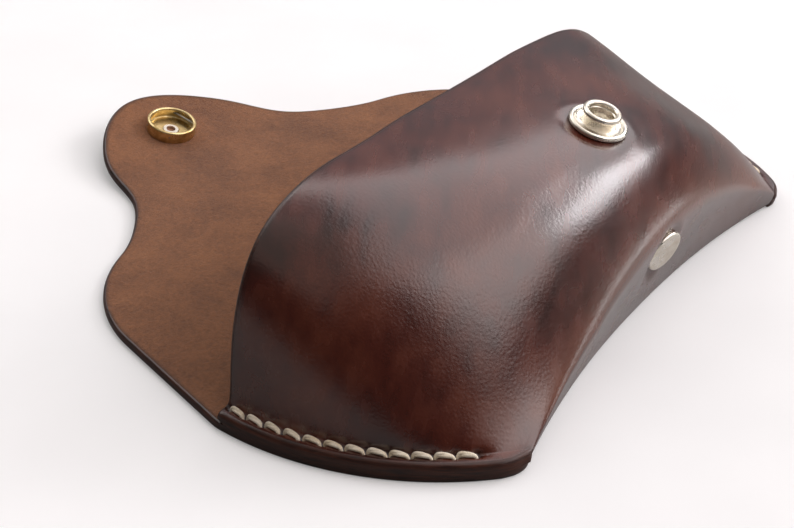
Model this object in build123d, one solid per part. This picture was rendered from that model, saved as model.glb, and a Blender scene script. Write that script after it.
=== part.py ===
"""Leather glasses case: a sewn pouch with a riveted bottom and a snap flap, laid open on its back.

The pouch lies on its back panel. X runs along the mouth, +Y runs from the bottom of the pouch through the
mouth to the tip of the flap, and +Z is up. Shapes are drawn with y = 0 at the bottom corners of the pouch;
every piece is then moved so that the origin is at the centre of the foot of the whole open case.
"""

import os
from math import asin, atan, cos, degrees, radians, sin, sqrt

from build123d import *

# Leather, in millimetres
LEATHER = 2.0
POUCH_DEPTH = 52.0
HALF_WIDTH = 83.0
SIDE_RADIUS = 57.5
SIDE_CENTRE_Y = 45.0
FLAP_TIP_Y = 146.0
RISE_MARGIN = 3.7
BEHIND = -4.0
FAR = 200.0

# Arch of the front: depth from the bottom corners, and height over the table on the middle line
CREST = [(BEHIND, 12.5), (3.0, 23.9), (10.0, 33.2), (17.0, 36.9), (25.0, 38.9), (34.0, 39.8), (43.0, 39.9)]
MOUTH_HEIGHT = 39.4
CREST_SLANT = 0.03
ARCH_POINTS = 17

# How boxy each flank is: power at bottom and mouth, root at bottom and mouth, and how late it changes
NEAR_FLANK = (1.6, 7.6, 0.95, 2.45, 1.4)
FAR_FLANK = (1.7, 4.3, 1.18, 1.35, 4.0)

# Bottom face: bowed in between the corners, and leaning out towards its crease
BOTTOM_BOW = 6.5
BOTTOM_POWER = 2.2
BOTTOM_LEAN = 0.25
BOTTOM_LIFT = 0.3
CREASE_RADIUS = 2.5
CREASE_SEARCH = 12.0

# Stitched ends
STITCH_MARGIN = 2.5
STITCH_PITCH = 3.9
STITCH_COUNT = 12
FIRST_HOLE_Y = 50.6
THREAD_RADIUS = 0.6
LEG_RISE = 0.3
UNDER_DEPTH = 0.8
STITCH_GAP = 0.08
HOLE_LENGTH = 1.5
HOLE_WIDTH = 0.9
HOLE_SLANT = 35.0

# Bends of the flap
SPINE_START = 54.7
SPINE_LENGTH = 42.8
TONGUE_STRAIGHT = 17.0
TONGUE_RADIUS = 86.0
TONGUE_TURN = 24.0

# Snap: the stud on the front, and the socket and cap on the flap
STUD_TILT = 14.0
STUD_GRIP = 1.3
FLANGE_RADIUS = 6.1
FLANGE_RIM = 0.45
RING_RADIUS = 4.0
RING_BEAD = 0.5
RING_TOP = 3.7
NECK_RADIUS = 3.3
EYELET_RADIUS = 5.0
BARREL_RADIUS = 2.1
SHUT_GAP = 4.3
SOCKET_TURN = 12.0
SOCKET_GRIP = 1.75
SOCKET_RADIUS = 5.9
SOCKET_HEIGHT = 3.0
SPRING_RADIUS = 0.3
SPRING_OFFSET = 4.6
SPRING_LENGTH = 7.0
SPRING_HEIGHT = 1.7
CAP_RADIUS = 6.3
CAP_DOME = 1.4
POST_RADIUS = 1.7

# Rivet through the two layers of the bottom
RIVET_HEIGHT = 15.0
RIVET_TURN = 12.0
RIVET_SEAT = 0.6
RIVET_GRIP = 3.2
RIVET_RADIUS = 4.6
RIVET_THICKNESS = 1.0
RIVET_FOOT_RADIUS = 4.2
SHANK_RADIUS = 1.6
PIN_RADIUS = 1.1

# Sheet metal, and the play round a clamped part in the leather pressed under it
METAL = 0.3
PRESS_GAP = 0.2


def side_half_width(y):
    """Half width of the pouch's plan at depth y, on the bulging stitched end."""
    return HALF_WIDTH - SIDE_RADIUS + sqrt(SIDE_RADIUS**2 - (y - SIDE_CENTRE_Y) ** 2)


def slab(low, high):
    """Wide flat block between two heights."""
    return Pos(0, 0, low) * Box(2 * FAR, 2 * FAR, high - low, align=(Align.CENTER, Align.CENTER, Align.MIN))


def mirrored(curve):
    """A half outline together with its mirror image about x = 0."""
    return curve + mirror(curve, about=Plane.YZ)


def arch_share(u, y):
    """Share of the crest height at u, from -1 at the near foot to 1 at the far foot."""
    power_bottom, power_mouth, root_bottom, root_mouth, delay = NEAR_FLANK if u < 0 else FAR_FLANK
    depth = max(y / POUCH_DEPTH, 0) ** delay
    power = power_bottom + (power_mouth - power_bottom) * depth
    root = root_bottom + (root_mouth - root_bottom) * depth
    return max(1 - abs(u) ** power, 0) ** (1 / root)


def arch_section(y, crest, inset):
    """Closed section of the filled arch at depth y, drawn in by inset and reaching below the table."""
    half = side_half_width(y) - RISE_MARGIN - inset
    foot = 2 * LEATHER - inset
    points = []
    for i in range(ARCH_POINTS):
        u = sin(radians(-90 + 180 * i / (ARCH_POINTS - 1)))
        height = crest - CREST_SLANT * u * half - inset - foot
        points.append((u * half, y, foot + height * arch_share(u, y)))
    base = Polyline(points[-1], (half, y, -1), (-half, y, -1), points[0])
    return make_face(Spline(*points) + base)


def arch_body(inset):
    """Filled arch from behind the bottom face to the mouth, or past the mouth when drawn in by inset."""
    stations = CREST + [(POUCH_DEPTH + 2 * inset, MOUTH_HEIGHT)]
    return loft([arch_section(y, crest, inset) for y, crest in stations])


def bottom_face_y(x, z, inset):
    """Depth of the bottom's face at x and height z, when it is set into the pouch by inset."""
    bow = BOTTOM_BOW * (1 - abs(x / side_half_width(0)) ** BOTTOM_POWER)
    return bow + inset - BOTTOM_LEAN * (z - 2 * LEATHER)


def outside_bottom(inset):
    """Everything outside the bottom face, when that face is set into the pouch by inset."""
    low = -5.0
    reach = side_half_width(0) + 8
    points = []
    for i in range(13):
        x = reach * (i / 6 - 1)
        points.append((x, bottom_face_y(x, low, inset), low))
    rim = Polyline(points[-1], (reach, -FAR, low), (-reach, -FAR, low), points[0])
    return extrude(make_face(Spline(*points) + rim), FAR / 2, dir=(0, -BOTTOM_LEAN, 1))


def bottom_layer(inset):
    """Curved slab one leather thick, set into the pouch by inset from the bottom's outer face."""
    return outside_bottom(inset + LEATHER) - outside_bottom(inset)


def creased_arch():
    """Filled arch cut off at the bottom face, almost down to the table, with its crease rounded."""
    arch = (arch_body(0) & slab(BOTTOM_LIFT, FAR)) - outside_bottom(0)
    high = [edge for edge in arch.edges() if edge.center().Z > CREASE_SEARCH]
    crease = [edge for edge in high if edge.center().Y < CREASE_SEARCH]
    return fillet(crease, CREASE_RADIUS)


def pouch_plan():
    """Plan face of the pouch, from behind the bottom corners to the mouth."""
    start = (side_half_width(BEHIND), BEHIND)
    middle = (side_half_width(POUCH_DEPTH / 2), POUCH_DEPTH / 2)
    end = (side_half_width(POUCH_DEPTH), POUCH_DEPTH)
    half = Line((0, BEHIND), start) + ThreePointArc(start, middle, end) + Line(end, (0, POUCH_DEPTH))
    return make_face(mirrored(half))


def flap_plan():
    """Plan face of the whole flap: sloping shoulders, an ogee and a round tongue."""
    root = (side_half_width(POUCH_DEPTH), POUCH_DEPTH)
    shoulder = (72.3, 82.0)
    waist = (50.0, 103.7)
    corner = TangentArc(shoulder, waist, tangent=(shoulder[0] - root[0], shoulder[1] - root[1]))
    tip = [(37.0, 110.8), (28.5, 119.5), (23.8, 130.0), (16.0, 139.5), (0, FLAP_TIP_Y)]
    ogee = Spline(waist, *tip, tangents=[corner % 1, (-1, 0)])
    half = Line((0, POUCH_DEPTH), root) + Line(root, shoulder) + corner + ogee
    return make_face(mirrored(half))


def flap_zone(start, end):
    """The part of the flap's plan between two depths."""
    band = Pos(0, start) * Rectangle(2 * FAR, end - start, align=(Align.CENTER, Align.MIN))
    return flap_plan() & band


def flat_leather(plan, low):
    """A plan cut from one thickness of leather, with its lower side at low."""
    return Pos(0, 0, low) * extrude(plan, LEATHER)


def ring_section(inner, outer, low, high):
    """Rectangle in the section of a turned part, where x is the radius and y the height."""
    return Pos((inner + outer) / 2, (low + high) / 2) * Rectangle(outer - inner, abs(high - low))


def clenched_end(radius, seat):
    """Half section of a tube's end turned out over a seat."""
    return ring_section(0, radius + METAL, seat, seat + METAL)


def turned(section):
    """Solid of revolution about the part's own axis."""
    return revolve(Plane.XZ * section, Axis.Z)


def clamp_room(shaft, upper, lower, grip):
    """Hole and two flat seats that a clamped pair of metal parts takes out of the leather."""
    room = ring_section(0, shaft, -grip - 1, 1)
    room += ring_section(0, upper + PRESS_GAP, 0, 4)
    room += ring_section(0, lower + PRESS_GAP, -grip - 4, -grip)
    return turned(room)


def socket_place():
    """Where the snap socket sits on the curled tongue, with the flap open."""
    turn = radians(SOCKET_TURN)
    inner = TONGUE_RADIUS - LEATHER
    y = SPINE_START + SPINE_LENGTH + TONGUE_STRAIGHT + inner * sin(turn)
    return Location((0, y, TONGUE_RADIUS - inner * cos(turn)), (SOCKET_TURN, 0, 0))


def stud_place():
    """Where the stud must sit so that the socket comes down square on it when both bends are closed."""
    socket = socket_place().position
    arm_y = socket.Y - SPINE_START - SPINE_LENGTH
    arm_z = socket.Z - LEATHER
    turn = radians(180 + STUD_TILT - SOCKET_TURN)
    y = SPINE_START + arm_y * cos(turn) - arm_z * sin(turn)
    z = LEATHER + SPINE_LENGTH + arm_y * sin(turn) + arm_z * cos(turn)
    return Location((0, y, z), (STUD_TILT, 0, 0)) * Pos(0, 0, -SHUT_GAP)


def rivet_place():
    """Where the rivet's cap sits on the bottom face, turned a little towards the near end."""
    lean = 90 + degrees(atan(BOTTOM_LEAN))
    on_face = Location((0, bottom_face_y(0, RIVET_HEIGHT, 0), RIVET_HEIGHT), (lean, 0, 0))
    return on_face * Rot(0, -RIVET_TURN, 0) * Pos(0, 0, -RIVET_SEAT)


def stud_room():
    """Room for the stud and its eyelet in the front."""
    return stud_place() * clamp_room(BARREL_RADIUS, FLANGE_RADIUS, EYELET_RADIUS, STUD_GRIP)


def rivet_room():
    """Room for the rivet in the two layers of the bottom."""
    return rivet_place() * clamp_room(SHANK_RADIUS, RIVET_RADIUS, RIVET_FOOT_RADIUS, RIVET_GRIP)


def seam_line(height):
    """Arc through the awl holes of the far end, from the mouth down, at a height."""
    radius = SIDE_RADIUS - STITCH_MARGIN
    start = degrees(asin((FIRST_HOLE_Y - SIDE_CENTRE_Y) / radius))
    sweep_angle = degrees(STITCH_COUNT * STITCH_PITCH / radius)
    return CenterArc((HALF_WIDTH - SIDE_RADIUS, SIDE_CENTRE_Y, height), radius, start, -sweep_angle)


def thread_leg(line, share):
    """Thread squeezed into one slanted awl hole, at a share of the seam line."""
    slant = Vector(1, 0, 0).get_signed_angle(line % share, Vector(0, 0, 1)) + HOLE_SLANT
    height = 2 * LEATHER + LEG_RISE
    leg = Box(HOLE_LENGTH, HOLE_WIDTH, height, align=(Align.CENTER, Align.CENTER, Align.MIN))
    return Location(line @ share) * Rot(0, 0, slant) * leg


def seam_legs():
    """The thread's legs through all the awl holes of the far end."""
    return [thread_leg(seam_line(0), i / STITCH_COUNT) for i in range(STITCH_COUNT + 1)]


def seam_thread(legs):
    """Hand stitching of the far end: a stitch over each two holes, and one line pressed flat underneath."""
    line = seam_line(0)
    start = Plane(origin=line @ 0, x_dir=(0, 0, 1), z_dir=line % 0)
    pressed = start * Rectangle(UNDER_DEPTH, 2 * THREAD_RADIUS, align=(Align.MIN, Align.CENTER))
    thread = sweep(pressed, path=line)
    over = Pos(0, 0, 2 * LEATHER + THREAD_RADIUS)
    stitches = []
    for i in range(STITCH_COUNT):
        run = Line(line @ ((i + STITCH_GAP) / STITCH_COUNT), line @ ((i + 1 - STITCH_GAP) / STITCH_COUNT))
        stitch = sweep(Plane(origin=run @ 0, z_dir=run % 0) * Circle(THREAD_RADIUS), path=run)
        stitches.append(stitch.moved(over))
    return thread.fuse(*legs, *stitches)


def front_panel(legs):
    """Arched front with flat sewing margins and the outer layer of the bottom, folded in at the crease."""
    filled = flat_leather(pouch_plan(), LEATHER) - outside_bottom(0) + creased_arch()
    hollow = (arch_body(LEATHER) & slab(LEATHER, FAR)) - outside_bottom(LEATHER)
    panel = filled - hollow - (slab(0, LEATHER) - bottom_layer(0))
    return panel - legs - stud_room() - rivet_room()


def back_panel(threads):
    """Flat back with the inner layer of the bottom turned up inside the outer one."""
    sheet = flat_leather(pouch_plan(), 0) + flat_leather(flap_zone(POUCH_DEPTH, SPINE_START), 0)
    turned_up = arch_body(LEATHER) & bottom_layer(LEATHER) & slab(LEATHER, FAR)
    outer_layer = creased_arch() & bottom_layer(0)
    return sheet - outside_bottom(0) - outer_layer + turned_up - threads - rivet_room()


def flap_spine():
    """Part of the flap that stands over the mouth when the case is shut."""
    return flat_leather(flap_zone(SPINE_START, SPINE_START + SPINE_LENGTH), 0)


def tongue_profile():
    """Side view of the tongue's leather: straight from the second bend, then curling up."""
    start = SPINE_START + SPINE_LENGTH
    bend = start + TONGUE_STRAIGHT
    turn = radians(TONGUE_TURN)
    inner = TONGUE_RADIUS - LEATHER
    lower_end = (bend + TONGUE_RADIUS * sin(turn), TONGUE_RADIUS * (1 - cos(turn)))
    upper_end = (bend + inner * sin(turn), TONGUE_RADIUS - inner * cos(turn))
    edges = Line((start, 0), (bend, 0)) + CenterArc((bend, TONGUE_RADIUS), TONGUE_RADIUS, -90, TONGUE_TURN)
    edges += Line(lower_end, upper_end) + CenterArc((bend, TONGUE_RADIUS), inner, -90, TONGUE_TURN)
    edges += Polyline((bend, LEATHER), (start, LEATHER), (start, 0))
    return Plane.YZ * make_face(edges)


def flap_tongue():
    """Free end of the flap, cut to its round outline and pierced for the snap."""
    curled = extrude(tongue_profile(), FAR / 2, both=True)
    snap_room = socket_place() * clamp_room(POST_RADIUS, SOCKET_RADIUS, CAP_RADIUS, SOCKET_GRIP)
    return (curled & extrude(flap_plan(), FAR)) - snap_room


def snap_stud():
    """Stud: dished flange with a rolled rim, a waisted neck and a hollow ring with a rolled top."""
    section = ring_section(BARREL_RADIUS, FLANGE_RADIUS - FLANGE_RIM, 0, METAL)
    section += Pos(FLANGE_RADIUS - FLANGE_RIM, FLANGE_RIM) * Circle(FLANGE_RIM)
    section += ring_section(NECK_RADIUS - METAL, NECK_RADIUS, 0, RING_TOP - RING_BEAD)
    section += Pos(RING_RADIUS - RING_BEAD, RING_TOP - RING_BEAD) * Circle(RING_BEAD)
    return stud_place() * turned(section)


def stud_eyelet():
    """Eyelet behind the stud: a flat flange inside the pouch and a barrel clenched over in the stud."""
    section = ring_section(0, EYELET_RADIUS, -STUD_GRIP, -STUD_GRIP - 2 * METAL)
    section += ring_section(0, BARREL_RADIUS, -STUD_GRIP, METAL) + clenched_end(BARREL_RADIUS, METAL)
    section -= ring_section(0, BARREL_RADIUS - METAL, -STUD_GRIP - 1, 1)
    return stud_place() * turned(section)


def spring_wire(side):
    """One of the two straight spring wires lying across the socket's bore."""
    return socket_place() * Pos(side * SPRING_OFFSET, 0, SPRING_HEIGHT) * Rot(90, 0, 0) * Cylinder(
        SPRING_RADIUS, SPRING_LENGTH
    )


def snap_socket(springs):
    """Socket cup with a rolled lip, holding the two spring wires in its wall."""
    lip = 0.45
    section = ring_section(POST_RADIUS, SOCKET_RADIUS, 0, METAL)
    section += ring_section(SOCKET_RADIUS - 0.5, SOCKET_RADIUS, 0, SOCKET_HEIGHT - lip)
    section += Pos(SOCKET_RADIUS - lip, SOCKET_HEIGHT - lip) * Circle(lip)
    return socket_place() * turned(section) - springs


def snap_cap():
    """Domed cap on the grain side, with a hollow post clenched over in the socket."""
    seat = -SOCKET_GRIP
    crown = TangentArc((0, seat - CAP_DOME), (CAP_RADIUS, seat - 0.4), tangent=(1, 0))
    section = make_face(crown + Polyline(crown @ 1, (CAP_RADIUS, seat), (0, seat), crown @ 0))
    section += ring_section(0, POST_RADIUS, seat, METAL) + clenched_end(POST_RADIUS, METAL)
    section -= ring_section(0, POST_RADIUS - 2 * METAL, seat, 1)
    return socket_place() * turned(section)


def rivet_cap():
    """Flat round cap of the bottom's rivet, with a blind hole for the pin."""
    edge = RIVET_THICKNESS / 2
    section = ring_section(PIN_RADIUS, RIVET_RADIUS, 0, edge)
    section += ring_section(0, RIVET_RADIUS - edge, edge, 2 * edge)
    section += Pos(RIVET_RADIUS - edge, edge) * Circle(edge)
    return rivet_place() * turned(section)


def rivet_post():
    """Inner half of the rivet: a flat foot inside the pouch, a shank and the pin in the cap."""
    section = ring_section(0, RIVET_FOOT_RADIUS, -RIVET_GRIP, -RIVET_GRIP - 0.8)
    section += ring_section(0, SHANK_RADIUS, -RIVET_GRIP, 0)
    section += ring_section(0, PIN_RADIUS, 0, RIVET_THICKNESS / 2)
    return rivet_place() * turned(section)


def case_pieces():
    """Every piece of the case by its node name, in the drawing position."""
    legs = seam_legs()
    far_thread = seam_thread(legs)
    threads = [mirror(far_thread, about=Plane.YZ), far_thread]
    all_legs = legs + [mirror(leg, about=Plane.YZ) for leg in legs]
    springs = [spring_wire(-1), spring_wire(1)]
    return {
        "back_panel": back_panel(threads),
        "flap_spine": flap_spine(),
        "flap_tongue": flap_tongue(),
        "front_panel": front_panel(all_legs),
        "near_seam_thread": threads[0],
        "far_seam_thread": threads[1],
        "snap_stud": snap_stud(),
        "stud_eyelet": stud_eyelet(),
        "snap_socket": snap_socket(springs),
        "near_spring_wire": springs[0],
        "far_spring_wire": springs[1],
        "snap_cap": snap_cap(),
        "rivet_cap": rivet_cap(),
        "rivet_post": rivet_post(),
    }


if __name__ == "__main__":
    os.makedirs("parts", exist_ok=True)
    for node, piece in case_pieces().items():
        export_step(Pos(0, -FLAP_TIP_Y / 2, 0) * piece, f"parts/{node}.step")
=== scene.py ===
"""Dresses the leather glasses case: waxed leather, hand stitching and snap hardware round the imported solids.

Lengths in the classes are millimetres in the pattern's own frame, where y = 0 is at the bottom corners of the
pouch. Meshes are made in metres in the row frame, whose origin is at the middle of the foot of the open case.
"""

import logging
import math
from dataclasses import dataclass, field
from enum import Enum
from typing import Any, Sequence

import bmesh
import bpy
import numpy as np
from mathutils import Matrix, Vector


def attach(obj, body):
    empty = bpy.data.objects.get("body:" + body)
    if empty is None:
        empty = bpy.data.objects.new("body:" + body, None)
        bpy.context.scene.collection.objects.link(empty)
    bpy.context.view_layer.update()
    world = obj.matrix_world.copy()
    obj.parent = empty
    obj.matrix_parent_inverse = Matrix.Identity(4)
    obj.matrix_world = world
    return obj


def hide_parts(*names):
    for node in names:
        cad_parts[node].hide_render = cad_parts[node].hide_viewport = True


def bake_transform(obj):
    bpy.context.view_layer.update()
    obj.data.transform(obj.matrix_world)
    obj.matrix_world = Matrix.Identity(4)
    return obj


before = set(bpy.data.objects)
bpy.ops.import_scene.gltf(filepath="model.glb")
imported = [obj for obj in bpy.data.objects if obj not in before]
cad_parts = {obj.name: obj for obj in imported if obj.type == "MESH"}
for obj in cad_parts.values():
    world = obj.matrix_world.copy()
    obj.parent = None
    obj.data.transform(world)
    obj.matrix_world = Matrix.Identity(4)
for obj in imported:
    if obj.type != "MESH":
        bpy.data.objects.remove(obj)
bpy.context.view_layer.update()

MM = 0.001
PER_METRE = 1000
HALF_LENGTH = 73.0
WHITE = (1.0, 1.0, 1.0, 1.0)
LOG = logging.getLogger("glasses_case")


class Side(Enum):
    """Which surface of a leather sheet a face belongs to; the value is its material slot."""

    GRAIN = 0
    FLESH = 1
    EDGE = 2


class End(Enum):
    """The two stitched ends of the pouch; the value is the sign of x."""

    NEAR = -1
    FAR = 1


def linear(colour: str) -> tuple[float, float, float, float]:
    """Turns an sRGB hex colour into linear light.

    Args:
        colour: Six hex digits after a hash.

    Returns:
        Linear red, green and blue, and full alpha.
    """
    parts = [int(colour[i : i + 2], 16) / 255 for i in (1, 3, 5)]
    r, g, b = (p / 12.92 if p <= 0.04045 else ((p + 0.055) / 1.055) ** 2.4 for p in parts)
    return r, g, b, 1.0


def add_node(
    tree: bpy.types.NodeTree,
    kind: str,
    settings: dict[Any, Any] | None = None,
    links: dict[Any, bpy.types.NodeSocket] | None = None,
) -> bpy.types.Node:
    """Adds a node with its settings and links.

    Args:
        tree: The tree that gets the node.
        kind: Blender's identifier of the node.
        settings: Property names, or socket names or numbers, and their values. The key "stops" gives a colour
            ramp its places and colours, rising.
        links: Socket names or numbers of the new node, and the outputs that feed them.

    Returns:
        The new node.
    """
    node = tree.nodes.new(kind)
    for key, value in (settings or {}).items():
        if key == "stops":
            elements = node.color_ramp.elements
            for element, (position, colour) in zip(elements, (value[0], value[-1])):
                element.position, element.color = position, linear(colour)
            for position, colour in value[1:-1]:
                elements.new(position).color = linear(colour)
        elif isinstance(key, str) and hasattr(node, key):
            setattr(node, key, value)
        else:
            node.inputs[key].default_value = value
    for key, source in (links or {}).items():
        tree.links.new(source, node.inputs[key])
    return node


def add_object(name: str, data: bpy.types.ID) -> bpy.types.Object:
    """Puts a new object into the scene."""
    made = bpy.data.objects.new(name, data)
    bpy.context.scene.collection.objects.link(made)
    return made


def smoothstep(low: float, high: float, value: np.ndarray) -> np.ndarray:
    """Smooth rise from 0 at low to 1 at high."""
    t = np.clip((value - low) / (high - low), 0.0, 1.0)
    return t * t * (3.0 - 2.0 * t)


def bell(distance: np.ndarray, width: float) -> np.ndarray:
    """Soft mark that is 1 at no distance and fades over a width."""
    return np.exp(-((distance / width) ** 2))


def cubic(t: np.ndarray) -> tuple[np.ndarray, ...]:
    """Weights of a cubic span: its first value and slope, then its last value and slope."""
    return 2 * t**3 - 3 * t**2 + 1, t**3 - 2 * t**2 + t, 3 * t**2 - 2 * t**3, t**3 - t**2


def hermite(x: np.ndarray, xs: Sequence[float], ys: Sequence[float]) -> np.ndarray:
    """Smooth curve through points, with slopes taken from each point's neighbours.

    Args:
        x: Where to read the curve.
        xs: The points' places, rising.
        ys: The points' values.

    Returns:
        The curve at x.
    """
    places, values = np.asarray(xs, float), np.asarray(ys, float)
    slope = np.gradient(values, places)
    k = np.clip(np.searchsorted(places, x) - 1, 0, len(places) - 2)
    h = places[k + 1] - places[k]
    a, b, c, d = cubic(np.clip((x - places[k]) / h, 0.0, 1.0))
    return a * values[k] + b * h * slope[k] + c * values[k + 1] + d * h * slope[k + 1]


def fit_spline(points: np.ndarray, start: np.ndarray, end: np.ndarray, steps: int = 12) -> np.ndarray:
    """Smooth curve through points with given directions at both ends.

    Args:
        points: The points, one in each row.
        start: Direction at the first point.
        end: Direction at the last point.
        steps: Pieces that each span is divided into.

    Returns:
        Points along the curve.
    """
    h = np.linalg.norm(np.diff(points, axis=0), axis=1)
    count = len(points)
    matrix, right = np.zeros((count, count)), np.zeros(points.shape)
    matrix[0, 0] = matrix[-1, -1] = 1.0
    right[0], right[-1] = start, end
    for i in range(1, count - 1):
        matrix[i, i - 1 : i + 2] = h[i], 2 * (h[i - 1] + h[i]), h[i - 1]
        before, after = (points[i] - points[i - 1]) / h[i - 1], (points[i + 1] - points[i]) / h[i]
        right[i] = 3 * (h[i] * before + h[i - 1] * after)
    slope = np.linalg.solve(matrix, right)
    a, b, c, d = cubic(np.linspace(0.0, 1.0, steps + 1)[:, None])
    spans = [
        a * points[i] + b * h[i] * slope[i] + c * points[i + 1] + d * h[i] * slope[i + 1]
        for i in range(count - 1)
    ]
    return np.concatenate([spans[0], *(span[1:] for span in spans[1:])])


def resample(line: np.ndarray, shares: np.ndarray) -> np.ndarray:
    """Points at given shares of a polyline's length.

    Args:
        line: The polyline's points, one in each row.
        shares: Shares of the length, from 0 to 1.

    Returns:
        One point for each share.
    """
    steps = np.linalg.norm(np.diff(line, axis=0), axis=1)
    along = np.concatenate([[0.0], np.cumsum(steps)])
    return np.stack([np.interp(shares * along[-1], along, column) for column in line.T], axis=1)


def soften(points: np.ndarray, rounds: int, axis: int) -> np.ndarray:
    """Averages each point with its neighbours along one axis of a grid, and keeps the two ends."""
    grid = np.moveaxis(points.copy(), axis, 0)
    for _ in range(rounds):
        grid[1:-1] = (grid[:-2] + 2 * grid[1:-1] + grid[2:]) / 4
    return np.moveaxis(grid, 0, axis)


def soft_waves(
    x: np.ndarray,
    y: np.ndarray,
    seed: int,
    length: float,
    waves: int = 14,
    spread: tuple[float, float] = (0.55, 1.8),
) -> np.ndarray:
    """Gentle random unevenness over a surface, made of a few long waves.

    Args:
        x: First coordinate, in millimetres.
        y: Second coordinate, in millimetres.
        seed: Fixes the pattern.
        length: Middle wavelength, in millimetres.
        waves: How many waves are added up.
        spread: Shortest and longest wavelength, as shares of the middle one.

    Returns:
        Values of about -1 to 1.
    """
    random = np.random.default_rng(seed)
    total = np.zeros_like(x, dtype=float)
    for _ in range(waves):
        turn, phase = random.uniform(0, 2 * math.pi, 2)
        size = length * random.uniform(*spread)
        total += np.sin(2 * math.pi * (x * math.cos(turn) + y * math.sin(turn)) / size + phase)
    return total / math.sqrt(waves)


def nearest(points: np.ndarray, targets: np.ndarray, batches: int = 60) -> np.ndarray:
    """Distance from each point to the nearest target, worked out in batches to save memory."""
    found = [
        np.sqrt(((part[:, None] - targets[None]) ** 2).sum(-1).min(1))
        for part in np.array_split(points, batches)
    ]
    return np.concatenate(found)


def number_grid(rows: np.ndarray, first: int = 0) -> np.ndarray:
    """Numbers of a grid's points, counted row by row from first."""
    return first + np.arange(rows.shape[0] * rows.shape[1]).reshape(rows.shape[:2])


def grid_quads(numbers: np.ndarray) -> np.ndarray:
    """Quads between neighbours in a grid, facing up when rows run towards -y and columns to +x."""
    a, b, c, d = numbers[:-1, :-1], numbers[:-1, 1:], numbers[1:, 1:], numbers[1:, :-1]
    return np.stack([d, c, b, a], axis=-1).reshape(-1, 4)


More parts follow.
